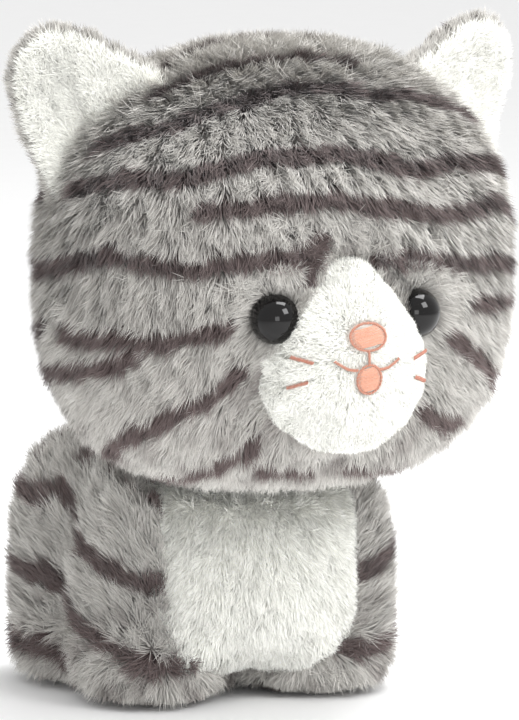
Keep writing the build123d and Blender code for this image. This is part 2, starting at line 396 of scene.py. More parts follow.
# The last number of each is how much darker a strand is at its root: partly its darker base, partly painted
# shade deep in the pile.
STRIPED = PileFinish("striped_pile", colour(0.46, 0.44, 0.415), colour(0.70, 0.685, 0.65),
                     colour(0.105, 0.076, 0.074), colour(0.19, 0.15, 0.145), 0.34)
WHITE = PileFinish("white_pile", colour(0.95, 0.95, 0.90), colour(0.97, 0.97, 0.93),
                   colour(0.95, 0.95, 0.90), colour(0.97, 0.97, 0.93), 0.08)


@dataclass(frozen=True)
class ThreadFinish:
    """Shiny twisted embroidery thread."""

    name: str
    base: tuple[float, float, float, float]
    dark: tuple[float, float, float, float]

    def build(self) -> bpy.types.Material:
        """Make the material, with its twist read along each thread."""
        found = bpy.data.materials.get(self.name)
        if found:
            return found
        material, sheet, shader = start_material(self.name)
        twist = sheet.math("SINE", sheet.math("MULTIPLY", sheet.attribute("along"), 1.0), 0.0)
        share = sheet.math("ADD", sheet.math("MULTIPLY", sheet.math("ADD", twist, 1.2), 0.30),
                           sheet.math("MULTIPLY", sheet.attribute("tint"), 0.55))
        place_of = sheet.add("ShaderNodeTexCoord").outputs["Object"]
        fibre = sheet.add("ShaderNodeTexNoise", inputs={"Vector": place_of, "Scale": 2500.0, "Detail": 3.0})
        mixed = sheet.mix(sheet.math("MULTIPLY", share, fibre.outputs["Fac"]), self.base, self.dark)
        sheet.tree.links.new(mixed, shader.inputs["Base Color"])
        height = sheet.math("ADD", twist, fibre.outputs["Fac"])
        bump = sheet.add("ShaderNodeBump", inputs={"Height": height, "Strength": 0.4, "Distance": 0.0001})
        sheet.tree.links.new(bump.outputs[0], shader.inputs["Normal"])
        shader.inputs["Roughness"].default_value = 0.42
        shader.inputs["Sheen Weight"].default_value = 0.2
        return material


PINK_THREAD = ThreadFinish("twisted_pink_thread", colour(0.76, 0.40, 0.28), colour(0.52, 0.22, 0.14))
ROSE_THREAD = ThreadFinish("twisted_rose_thread", colour(0.52, 0.21, 0.14), colour(0.26, 0.09, 0.06))


EDGE_THREAD = ThreadFinish("twisted_edge_thread", colour(0.60, 0.27, 0.18), colour(0.32, 0.12, 0.08))


@dataclass(frozen=True)
class PlasticFinish:
    """Moulded plastic, with faint scuffs in its gloss."""

    name: str
    base: tuple[float, float, float, float]
    other: tuple[float, float, float, float]
    rough: float
    coat: float = 0.0

    def build(self) -> bpy.types.Material:
        """Make the material."""
        found = bpy.data.materials.get(self.name)
        if found:
            return found
        material, sheet, shader = start_material(self.name)
        place_of = sheet.add("ShaderNodeTexCoord").outputs["Object"]
        grain = sheet.add("ShaderNodeTexNoise", inputs={"Vector": place_of, "Scale": 400.0, "Detail": 5.0})
        sheet.tree.links.new(sheet.mix(grain.outputs["Fac"], self.base, self.other),
                             shader.inputs["Base Color"])
        gloss = sheet.add("ShaderNodeMapRange", inputs={"Value": grain.outputs["Fac"],
                                                        "To Min": self.rough,
                                                        "To Max": self.rough + 0.06})
        sheet.tree.links.new(gloss.outputs[0], shader.inputs["Roughness"])
        shader.inputs["Coat Weight"].default_value = self.coat
        shader.inputs["Specular IOR Level"].default_value = 0.5 - 0.45 * self.coat
        shader.inputs["Coat Roughness"].default_value = 0.03
        shader.inputs["Coat IOR"].default_value = 1.33
        return material


EYE_BLACK = PlasticFinish("polished_black", colour(0.003, 0.003, 0.003), colour(0.006, 0.005, 0.005),
                          0.06, 1.0)
WASHER_WHITE = PlasticFinish("moulded_white", colour(0.80, 0.80, 0.78), colour(0.72, 0.72, 0.70), 0.45)
FIBRE = PlasticFinish("teased_fibre", colour(0.86, 0.86, 0.85), colour(0.70, 0.70, 0.69), 0.85)
POUCH_CLOTH = PlasticFinish("woven_pouch", colour(0.78, 0.77, 0.72), colour(0.62, 0.61, 0.57), 0.80)


# ---- Pile ------------------------------------------------------------------------
Field = Callable[[Array, Array], Array]


@dataclass
class Pile:
    """How the pile on one stretch of cover is grown.

    Attributes:
        count: How many strands.
        length: Length of a strand in millimetres.
        width: Width of a strand at its root in millimetres.
        lean: Degrees that a strand leans at its root and at its tip.
        comb: The direction the pile is brushed, for each root and normal.
        stripe: How much stripe dye each root has.
    """

    count: int
    length: float
    width: float
    lean: tuple[float, float]
    comb: Field
    stripe: Callable[[Array], Array]
    seed: int = 1
    scatter: float = 0.22
    length_at: Callable[[Array], Array] | None = None
    keep: Callable[[Array, Array], Array] | None = None

    def roots(self, skin: bpy.types.Object, region: Callable[[Array], Array]) -> tuple[Array, Array]:
        """Scatter roots evenly over the part of a skin that a region covers."""
        random = np.random.default_rng(self.seed)
        mesh = skin.data
        mesh.calc_loop_triangles()
        corners = np.empty(len(mesh.loop_triangles) * 3, np.int32)
        mesh.loop_triangles.foreach_get("vertices", corners)
        corners = corners.reshape(-1, 3)
        points = coordinates(skin)
        normals = vertex_normals(skin)
        corners = corners[region(points[corners].mean(axis=1))]
        a, b, c = (points[corners[:, i]] for i in range(3))
        area = np.linalg.norm(np.cross(b - a, c - a), axis=1)
        chosen = random.choice(len(corners), size=self.count, p=area / area.sum())
        share = np.sqrt(random.random(self.count))[:, None]
        turn = random.random(self.count)[:, None]
        weights = (1 - share, share * (1 - turn), share * turn)
        root = sum(w * points[corners[chosen, i]] for i, w in enumerate(weights))
        normal = unit(sum(w * normals[corners[chosen, i]] for i, w in enumerate(weights)))
        return root, normal

    def grow(self, name: str, skin: bpy.types.Object, region: Callable[[Array], Array],
             finish: PileFinish) -> bpy.types.Object:
        """Grow the strands as one mesh of narrow tapered ribbons.

        Args:
            name: The new piece's name.
            skin: The cover that the pile stands on.
            region: Which places on the cover carry this pile.
            finish: The dyed pile finish.

        Returns:
            The new piece.
        """
        root, normal = self.roots(skin, region)
        random = np.random.default_rng(self.seed + 7)
        count = len(root)
        comb = self.comb(root, normal)
        tuft = np.stack([ripple(root, 7.0, 3 + i) for i in range(3)], axis=1)
        loose = random.normal(size=(count, 3)) * self.scatter
        comb = comb + loose + tuft * 0.55
        comb = unit(brushed(comb, normal))
        length = self.length * random.uniform(0.72, 1.12, count) * (1 + 0.10 * ripple(root, 9.0, 11))
        if self.length_at is not None:
            length = length * self.length_at(root)
        lean = [np.radians(a + random.normal(size=count) * 5 + 8 * ripple(root, 6.0, 17)) for a in self.lean]
        steps = []
        for angle in lean:
            steps.append(np.cos(angle)[:, None] * normal + np.sin(angle)[:, None] * comb)
        middle = root + steps[0] * (length * 0.5)[:, None]
        tip = middle + steps[1] * (length * 0.5)[:, None]
        if self.keep is not None:
            kept = self.keep(middle, tip)
            root, normal, comb, middle, tip = (x[kept] for x in (root, normal, comb, middle, tip))
            count = len(root)
        flat = unit(np.cross(normal, comb) + normal * random.normal(size=(count, 1)) * 0.45)
        wide = flat * (self.width * random.uniform(0.7, 1.25, (count, 1)) * 0.5)
        points = np.stack([root - wide, root + wide, middle + wide * 0.8, middle - wide * 0.8, tip], axis=1)
        first = np.arange(count)[:, None] * 5
        thing = mesh_object(name, points.reshape(-1, 3),
                            [first + np.array([[0, 1, 2, 3]]), first + np.array([[3, 2, 4]])])
        # along runs from root to tip: the material pales each strand towards its tip and darkens it towards
        # its root, partly with painted shade.
        set_value(thing, "along", np.tile([0.0, 0.0, 0.5, 0.5, 1.0], count))
        set_value(thing, "tint", np.repeat(random.random(count), 5))
        set_value(thing, "stripe", np.repeat(self.stripe(middle), 5))
        thing.data.materials.append(finish.build())
        return thing


def dress_skin(skin: bpy.types.Object, stripe: Array, finish: PileFinish) -> None:
    """Dye the backing under the pile like the pile itself, as a quarter of the way up a strand, so it keeps a
    little of the painted root shade.
    """
    set_value(skin, "stripe", stripe)
    set_value(skin, "along", np.full(len(stripe), 0.25))
    set_value(skin, "tint", np.full(len(stripe), 0.3))
    skin.data.materials.clear()
    skin.data.materials.append(finish.build())
    smooth(skin)


# ---- Head ------------------------------------------------------------------------
@dataclass
class HeadForm:
    """The shape of the stuffed head and of the muzzle that bulges from it."""

    centre: Array
    half: Array = field(default_factory=lambda: np.array([71.0, HEAD_DEPTH, HEAD_HEIGHT]))
    crown: float = 2.35
    jowl: float = 2.9
    muzzle_shift: Array = field(default_factory=lambda: np.array([0.0, -40.0, -20.0]))
    muzzle_half: Array = field(default_factory=lambda: np.array([30.0, 27.5, 34.0]))
    patch_heights: tuple[float, ...] = (-51, -48, -42, -34, -25, -14, -8, -2, 3, 6)
    patch_widths: tuple[float, ...] = (0, 12, 20.5, 25, 25, 19, 14, 9.5, 6.0, 0)

    def reach(self, way: Array, inset: float | Array) -> Array:
        """How far the surface lies from the centre along each direction."""
        half = self.half - np.asarray(inset)[..., None]
        scaled = np.abs(way) / half
        level = np.hypot(scaled[:, 0], scaled[:, 1])
        power = np.where(way[:, 2] > 0, self.crown, self.jowl)
        head = (level**power + scaled[:, 2]**power) ** (-1 / power)
        ball = self.muzzle_half - np.asarray(inset)[..., None]
        a = (way / ball) ** 2
        b = way * self.muzzle_shift / ball**2
        c = ((self.muzzle_shift / ball) ** 2)
        a, b, c = a.sum(axis=1), b.sum(axis=1), np.broadcast_to(c, way.shape).sum(axis=1) - 1
        inside = b * b - a * c
        muzzle = np.where(inside > 0, (b + np.sqrt(np.maximum(inside, 0))) / a, 0)
        blend = 2.5
        rise = np.maximum(blend - np.abs(head - muzzle), 0) / blend
        return np.maximum(head, muzzle) + rise * rise * blend / 4

    def patch_depth(self, points: Array) -> Array:
        """Millimetres inside the white patch's outline, seen from the front; negative outside."""
        way = unit(points - self.centre)
        at = way * self.reach(way, 0.0)[:, None]
        width = np.interp(at[:, 2], self.patch_heights, self.patch_widths)
        side = width - np.abs(at[:, 0])
        ends = np.minimum(at[:, 2] - self.patch_heights[0], self.patch_heights[-1] - at[:, 2])
        return np.where(at[:, 1] < 0, np.minimum(side, ends * 1.5), -50.0)

    def stripe(self, points: Array) -> Array:
        """Where the dark stripes are printed on the head."""
        at = points - self.centre
        lines = HEAD_STRIPES + [[(x * side, y, z) for x, y, z in line] for line in REAR_STRIPES
                                for side in (1, -1)]
        way = unit(at)
        onto = way * self.reach(way, BACKING)[:, None]
        flat = [[tuple(p) for p in self.project(line)] for line in lines]
        gap = distance_to_lines(onto, flat)
        wave = ripple(points, 13.0, 41) * 0.6 + ripple(points, 4.0, 43) * 0.4
        thin = 1.3 * smoothstep(40, 60, at[:, 2]) * smoothstep(-32, -16, at[:, 1])
        stripe = 1 - smoothstep(2.0, 3.2, gap + wave + thin)
        near = np.exp(-np.maximum(-self.patch_depth(points), 0) / 7.0) * (at[:, 1] < -20)
        low = smoothstep(-30, -52, at[:, 2]) * 0.8
        mottle = 0.55 * smoothstep(0.0, 0.8, ripple(points, 12.0, 47)) * np.maximum(near, low)
        return np.maximum(stripe, mottle)

    def project(self, line: list[tuple[float, float, float]]) -> list[Array]:
        """Divide a line and lay it on the surface under the pile."""
        points = np.array(line, float)
        fine = [points[0]]
        for start, end in zip(points, points[1:]):
            pieces = max(1, int(np.linalg.norm(end - start) / 9))
            fine += [start + (end - start) * i / pieces for i in range(1, pieces + 1)]
        way = unit(np.array(fine))
        return list(way * self.reach(way, BACKING)[:, None])

    def front(self, x: float, z: float, inset: float) -> Array:
        """The place on the face at a side and height from the centre."""
        near, far = -90.0, -5.0
        for _ in range(26):
            y = (near + far) / 2
            spot = np.array([[x, y, z]])
            if np.linalg.norm(spot) > self.reach(unit(spot), inset)[0]:
                near = y
            else:
                far = y
        return self.centre + np.array([x, (near + far) / 2, z])


# Lines that the stripes follow, in millimetres right, back and up from the head's centre.
HEAD_STRIPES = [
    [(-37, -6, 57), (-20, 0, 62), (-3, 4, 64), (17, -4, 63)],
    [(-43, -17, 50), (-28, -20, 57), (-14, -22, 60), (2, -23, 61), (12, -25, 59)],
    [(-60, -13, 35), (-43, -30, 43), (-28, -35, 50), (-2, -37, 54), (16, -38, 51), (49, -22, 43),
     (60, 0, 36)],
    [(-65, -10, 24), (-44, -39, 29), (-24, -47, 35), (-2, -50, 36), (21, -50, 31), (50, -33, 30),
     (64, -8, 24), (68, 8, 22)],
    [(-41, -44, 20), (-26, -51, 22), (-7, -55, 24), (16, -54, 20), (34, -48, 17), (53, -35, 19),
     (66, -12, 12)],
    [(-68, 12, -1), (-60, -28, 7), (-46, -43, 4), (-29, -52, 7), (-16, -56, 8), (-9, -57, 12)],
    [(-11, -57, 8), (-13, -57, 0)],
    [(10, -57, 4), (20, -55, 6), (41, -46, 3), (60, -28, 1), (68, 0, -2)],
    [(-67, -10, -16), (-53, -35, -17), (-34, -50, -13)],
    [(-63, 16, -28), (-62, -20, -25), (-55, -33, -21)],
    [(-30, -49, -27), (-38, -43, -33), (-46, -35, -38), (-53, -16, -46), (-51, -4, -52)],
    [(-24, -42, -48), (-33, -24, -57), (-36, 0, -60)],
    [(43, -45, -9), (65, -19, -10)],
    [(34, -50, -18), (42, -44, -23), (59, -19, -35)],
    [(29, -45, -41), (44, -32, -45)],
    [(8, -35, -58), (21, -29, -58), (33, -18, -59)],
    [(-18, -36, -56), (-4, -34, -59)],
]
# Stripes round the back, given for the cat's right and repeated on its left.
REAR_STRIPES = [
    [(-46, 12, 50), (-24, 21, 60), (0, 20, 62)],
    [(-50, 28, 40), (-28, 34, 51), (-6, 34, 55)],
    [(-62, 8, 34), (-54, 30, 36), (-30, 46, 38), (-4, 50, 38)],
    [(-68, 8, 22), (-58, 36, 19), (-34, 50, 21), (0, 56, 19)],
    [(-68, 10, 2), (-56, 40, 0), (-30, 54, 3), (-8, 57, 1)],
    [(-68, 4, -16), (-58, 36, -20), (-28, 52, -19), (0, 56, -21)],
    [(-64, 12, -32), (-50, 34, -38), (-22, 48, -40), (-5, 51, -41)],
    [(-51, -2, -52), (-44, 18, -53), (-20, 34, -57), (0, 38, -58)],
]


@dataclass
class Head:
    """The head's cover, pile, white muzzle, stitching and eyes."""

    form: HeadForm
    eye_side: float = 24.0
    eye_height: float = -10.0
    eye_radius: float = 7.0

    def eye_axis(self, side: int) -> tuple[Array, Array]:
        """The middle of an eye's dome base and the way that it faces."""
        spots = [self.form.front(side * self.eye_side + dx, self.eye_height + dz, 0.0)
                 for dx, dz in ((0, 0), (1.5, 0), (0, 1.5))]
        facing = unit(np.cross(spots[1] - spots[0], spots[2] - spots[0]))
        if facing[1] > 0:
            facing = -facing
        return spots[0] - facing * EYE_SEAT, facing

    def skin(self) -> bpy.types.Object:
        """The backing of the head's cover."""
        ball = new_ball("head_cover_backing", 6)
        way = unit(coordinates(ball))
        place(ball, self.form.centre + way * self.form.reach(way, BACKING)[:, None])
        return ball

    def comb(self, root: Array, normal: Array) -> Array:
        """Brushed down over the crown, out from the face patch and round the eyes."""
        at = root - self.form.centre
        down = np.array([0.0, -0.30, -1.0]) + np.zeros_like(at)
        cheek = smoothstep(5, -30, at[:, 2])[:, None] * smoothstep(-20, 10, -at[:, 1])[:, None]
        down = down + cheek * np.array([0.0, 0.75, 0.35])
        depth = -self.form.patch_depth(root)
        near = np.where(at[:, 1] < 0, np.exp(-np.maximum(depth, 0) / 9.0), 0)[:, None]
        outwards = unit(at * np.array([1.0, 0.0, 1.0]) - np.array([0.0, 0.0, -18.0]))
        comb = unit(down) * (1 - near) + outwards * near * 1.3
        for side in (1, -1):
            base, _ = self.eye_axis(side)
            away = root - base
            gap = np.linalg.norm(away, axis=1)[:, None]
            comb = comb + unit(away) * np.exp(-((gap / 10.5) ** 2)) * 3.0
        return brushed(comb, normal)

    def clear_of_eyes(self, middle: Array, tip: Array) -> Array:
        """Leave out the strands that would lie over an eye."""
        clear = np.ones(len(tip), bool)
        for side in (1, -1):
            base, facing = self.eye_axis(side)
            for points in (middle, tip):
                away = points - base
                height = away @ facing
                off = np.linalg.norm(away - height[:, None] * facing, axis=1)
                clear &= (off > self.eye_radius - 0.6) | (height < -3)
        return clear

    def clear_of_face(self, middle: Array, tip: Array) -> Array:
        """Leave out the strands that the eyes, nose, tongue, mouth or whisker stitches press flat."""
        clear = self.clear_of_eyes(middle, tip)
        for points in (middle, tip):
            at = points - self.form.centre
            side, height = np.abs(at[:, 0]), at[:, 2]
            for middle_of, half in (NOSE, TONGUE):
                wide, tall = half[0] + 0.4, half[1] + 0.4
                clear &= (side / wide) ** 2 + ((height - middle_of[1]) / tall) ** 2 > 1
            run = np.clip((MOUTH_HALF - side) / MOUTH_RUN, 0, 1)
            sag = MOUTH_TOP - MOUTH_SAG * np.sin(run * math.pi / 2)
            clear &= (side > MOUTH_HALF + 0.3) | (np.abs(height - sag) > 0.55)
            for inner, outer in WHISKERS:
                share = np.clip((side - inner[0]) / (outer[0] - inner[0]), 0, 1)
                gap = np.hypot(side - inner[0] - share * (outer[0] - inner[0]),
                               height - inner[1] - share * (outer[1] - inner[1]))
                clear &= gap > 0.6
        return clear

    def length_at(self, root: Array) -> Array:
        """Shorter pile beside the patch and round the eyes."""
        depth = -self.form.patch_depth(root)
        share = 0.62 + 0.38 * smoothstep(0, 16, depth)
        return np.where(root[:, 1] < self.form.centre[1], share, 1.0)

    def grow_pile(self, skin: bpy.types.Object) -> list[bpy.types.Object]:
        """Grow the striped pile in one piece for each panel."""
        centre = self.form.centre
        thin = quick_share()

        def area(test: Callable[[Array], Array]) -> Callable[[Array], Array]:
            return lambda points: test(points - centre) & (self.form.patch_depth(points) < 0.6)

        panels = {
            "head_crown_pile": (60000, lambda p: (np.abs(p[:, 0]) <= 30) & (p[:, 2] > -18) & (p[:, 1] < 22)),
            "head_side_pile_right": (58000, lambda p: (p[:, 0] < -30) & (p[:, 1] < 22)),
            "head_side_pile_left": (58000, lambda p: (p[:, 0] > 30) & (p[:, 1] < 22)),
            "chin_pile": (24000, lambda p: (np.abs(p[:, 0]) <= 30) & (p[:, 2] <= -18) & (p[:, 1] < 22)),
            "head_back_pile": (50000, lambda p: p[:, 1] >= 22),
        }
        made = []
        for index, (name, (count, test)) in enumerate(panels.items()):
            pile = Pile(int(count * thin), 8.4, 0.34, (22.0, 50.0), self.comb, self.form.stripe,
                        seed=20 + index, length_at=self.length_at, keep=self.clear_of_eyes)
            made.append(pile.grow(name, skin, area(test), STRIPED))
        return made

    def muzzle(self) -> tuple[bpy.types.Object, bpy.types.Object]:
        """The white patch: a padded backing with a short, dense pile."""
        ball = new_ball("muzzle_patch_backing", 7)
        way = unit(coordinates(ball))
        shell = self.form.centre + way * self.form.reach(way, 0.0)[:, None]
        depth = self.form.patch_depth(shell)
        rise = smoothstep(-2.5, 6.0, depth)
        inset = 6.4 - 4.4 * rise
        place(ball, self.form.centre + way * self.form.reach(way, inset)[:, None])
        remove_vertices(ball, depth < -2.0)
        thin = quick_share()
        pile = Pile(int(46000 * thin), 3.0, 0.31, (18.0, 58.0), self.muzzle_comb, no_stripe, seed=40,
                    scatter=0.5, keep=self.clear_of_face)
        fur = pile.grow("muzzle_patch_pile", ball, lambda p: self.form.patch_depth(p) > -2.0, WHITE)
        dress_skin(ball, np.zeros(len(ball.data.vertices)), WHITE)
        return ball, fur

    def muzzle_comb(self, root: Array, normal: Array) -> Array:
        """Short pile brushed outwards from the nose."""
        at = root - self.form.centre
        away = unit(at * np.array([1.0, 0.0, 1.0]) - np.array([0.0, 0.0, -16.0]))
        return brushed(away, normal)

    def build(self) -> None:
        """Make every piece of the head and fasten it to the head's body."""
        skin = self.skin()
        dress_skin(skin, self.form.stripe(coordinates(skin)), STRIPED)
        pile = self.grow_pile(skin)
        patch, patch_pile = self.muzzle()
        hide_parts("head_crown_panel", "head_side_left", "head_side_right", "head_back_panel",
                    "chin_panel")
        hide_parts("muzzle_patch")
        for piece in (skin, *pile):
            fasten(piece, Body.HEAD)
        for piece in (patch, patch_pile):
            fasten(piece, Body.HEAD)


def no_stripe(points: Array) -> Array:
    """Plain pile with no stripe."""
    return np.zeros(len(points))


@dataclass
class SafetyEye:
    """A glossy domed eye."""

    base: Array
    facing: Array
    name: str
    radius: float = 7.0
    dome: float = 6.0

    def build(self) -> None:
        """Turn the dome's outline round its axis and close its back."""
        ball = (self.radius**2 + self.dome**2) / (2 * self.dome)
        widest = math.asin(min(1.0, self.radius / ball))
        outline = [(ball * math.sin(widest * i / 14), self.dome - ball + ball * math.cos(widest * i / 14))
                   for i in range(1, 15)]
        outline += [(self.radius, -0.6), (self.radius - 0.5, -1.0), (1.9, -1.0), (1.9, -8.5)]
        turns = 56
        side = unit(np.cross(self.facing, [0.0, 0.0, 1.0]))
        up = np.cross(side, self.facing)
        points = [self.base + self.facing * self.dome]
        for radius, height in outline:
            for turn in range(turns):
                angle = 2 * math.pi * turn / turns
                points.append(self.base + self.facing * height
                              + (side * math.cos(angle) + up * math.sin(angle)) * radius)
        points.append(self.base + self.facing * outline[-1][1])
        ring = np.arange(turns)
        after = (ring + 1) % turns
        cap = np.stack([np.zeros(turns, int), 1 + after, 1 + ring], axis=1)
        walls = [np.stack([1 + turns * i + ring, 1 + turns * i + after, 1 + turns * (i + 1) + after,
                           1 + turns * (i + 1) + ring], axis=1) for i in range(len(outline) - 1)]
        last = 1 + turns * (len(outline) - 1)
        end = np.stack([last + ring, last + after, np.full(turns, len(points) - 1)], axis=1)
        eye = mesh_object(f"{self.name}_dome", np.array(points), [cap, *walls, end])
        face_outwards(eye)
        bpy.ops.object.shade_smooth_by_angle(angle=math.radians(40))
        eye.data.materials.append(EYE_BLACK.build())
        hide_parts(self.name)
        fasten(eye, Body.HEAD)


def oval(middle: tuple[float, float], half: tuple[float, float], share: float) -> tuple[float, float]:
    """A place a share of the way round an oval."""
    return (middle[0] + half[0] * math.cos(2 * math.pi * share),
            middle[1] + half[1] * math.sin(2 * math.pi * share))


def straight(start: tuple[float, float], end: tuple[float, float], share: float) -> tuple[float, float]:
    """A place a share of the way along a straight line."""
    return (start[0] + (end[0] - start[0]) * share, start[1] + (end[1] - start[1]) * share)


def mouth_side(side: int, share: float) -> tuple[float, float]:
    """A place a share of the way from the mouth's corner to its middle."""
    sag = MOUTH_SAG * math.sin(math.pi / 2 * min(1, share * 1.15))
    return (side * (MOUTH_HALF - MOUTH_RUN * share), MOUTH_TOP - sag)


@dataclass
class Stitching:
    """Satin stitching on the muzzle, laid thread by thread."""

    form: HeadForm
    lift: float = 0.35

    def on_face(self, x: float, z: float, lift: float = 0.0) -> Array:
        """A place on the stitched face."""
        return self.form.front(x, z, -self.lift - lift)

    def threads(self, name: str, runs: list[list[Array]], radius: float, finish: ThreadFinish,
                nodes: tuple[str, ...]) -> None:
        """Make threads as one piece of round tubes.

        Args:
            name: The new piece's name.
            runs: The points of each thread.
            radius: Radius of a thread in millimetres.
            finish: The thread's finish.
            nodes: The frame's nodes that the piece stands for.
        """
        sides = 6
        points, faces, along, tint = [], [], [], []
        random = np.random.default_rng(31)
        for run in runs:
            shade = random.random()
            run_points = np.array(run)
            way = unit(np.gradient(run_points, axis=0))
            flat = unit(np.cross(way, [0.0, -1.0, 0.0]))
            lift = np.cross(way, flat)
            first = len(points)
            travelled = np.concatenate([[0], np.cumsum(np.linalg.norm(np.diff(run_points, axis=0), axis=1))])
            for i, spot in enumerate(run_points):
                ending = 0.55 if i in (0, len(run_points) - 1) else 1.0
                for turn in range(sides):
                    angle = 2 * math.pi * turn / sides
                    points.append(spot + (flat[i] * math.cos(angle) + lift[i] * math.sin(angle))
                                  * radius * ending)
                    along.append(travelled[i] * 14.0 + angle)
                    tint.append(shade)
            for i in range(len(run_points) - 1):
                for turn in range(sides):
                    nxt = (turn + 1) % sides
                    base = first + i * sides
                    faces.append((base + turn, base + nxt, base + sides + nxt, base + sides + turn))
            for i in (0, len(run_points) - 1):
                points.append(run_points[i])
                along.append(0.0)
                tint.append(shade)
                for turn in range(sides):
                    nxt = (turn + 1) % sides
                    base = first + i * sides
                    pair = (base + turn, base + nxt) if i else (base + nxt, base + turn)
                    faces.append((*pair, len(points) - 1, len(points) - 1))
        quads = np.array([f for f in faces if f[2] != f[3]])
        tris = np.array([f[:3] for f in faces if f[2] == f[3]])
        piece = mesh_object(name, np.array(points), [quads, tris])
        set_value(piece, "along", np.array(along))
        set_value(piece, "tint", np.array(tint))
        face_outwards(piece)
        smooth(piece)
        piece.data.materials.append(finish.build())
        if nodes:
            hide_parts(*nodes)
        fasten(piece, Body.HEAD)

    def fill(self, centre: tuple[float, float], half: tuple[float, float], slant: float) -> list[list[Array]]:
        """Close slanting threads that fill an oval."""
        runs = []
        pitch = 0.36
        way = unit(np.array([1.0, slant]))
        over = np.array([-way[1], way[0]])
        size = np.array(half)
        rows = int(2 * half[1] / pitch)
        random = np.random.default_rng(5)
        for row in range(rows + 1):
            start = over * (-half[1] + (row + 0.3) * pitch) / size
            step = way / size
            a, b, c = step @ step, start @ step, start @ start - 1
            if b * b - a * c < 0.02:
                continue
            root = math.sqrt(b * b - a * c)
            low, high = (-b - root) / a, (-b + root) / a
            run = []
            for share in np.linspace(low, high, 7):
                spot = (start + step * share) * size + random.normal(size=2) * 0.03
                puff = 0.4 * max(0.0, 1 - ((spot / size) ** 2).sum())
                run.append(self.on_face(centre[0] + spot[0], centre[1] + spot[1], puff))
            runs.append(run)
        return runs

    def border(self, outline: Callable[[float], tuple[float, float]], start: float, end: float,
               width: float) -> list[list[Array]]:
        """Short stitches set side by side across a line.

        Args:
            outline: The line's place for a share of its length.
            start: The first share.
            end: The last share.
            width: Length of each stitch.
        """
        runs = []
        samples = [np.array(outline(start + (end - start) * i / 200)) for i in range(201)]
        length = sum(np.linalg.norm(b - a) for a, b in zip(samples, samples[1:]))
        count = max(3, int(length / 0.27))
        random = np.random.default_rng(9)
        for i in range(count + 1):
            share = i / count
            spot = samples[int(share * 200)]
            other = samples[min(200, int(share * 200) + 2)]
            back = samples[max(0, int(share * 200) - 2)]
            way = unit(other - back)
            across = np.array([-way[1], way[0]]) * width / 2 + way * 0.12
            jitter = random.normal(size=2) * 0.03
            ends = [spot - across + jitter, spot, spot + across + jitter]
            runs.append([self.on_face(p[0], p[1], 0.25 if k == 1 else 0.05) for k, p in enumerate(ends)])
        return runs

    def build(self) -> None:
        """Stitch the nose, tongue, mouth and whiskers."""
        self.threads("nose_fill", self.fill(*NOSE, 0.22), 0.18, PINK_THREAD, ("nose_embroidery",))
        self.threads("tongue_fill", self.fill(*TONGUE, 0.22), 0.18, PINK_THREAD, ("tongue_embroidery",))
        edges = []
        for middle, half in (NOSE, TONGUE):
            ring = (half[0] + 0.1, half[1] + 0.1)
            edges += self.border(partial(oval, middle, ring), 0, 1, 0.75)
        self.threads("nose_and_tongue_outline", edges, 0.17, EDGE_THREAD, ())
        lines = self.border(partial(mouth_side, 1), 0, 1, STITCH)
        lines += self.border(partial(mouth_side, -1), 0, 1, STITCH)
        lines += self.border(partial(straight, (0.0, -18.8), (0.2, -22.4)), 0, 1, STITCH)
        self.threads("mouth_line", lines, 0.16, EDGE_THREAD, ("mouth_embroidery",))
        whiskers = []
        for side in (1, -1):
            for inner, outer in WHISKERS:
                line = partial(straight, (side * inner[0], inner[1]), (side * outer[0], outer[1]))
                whiskers += self.border(line, 0, 1, 1.1)
        self.threads("whisker_marks", whiskers, 0.18, ROSE_THREAD, ("whisker_stitches",))


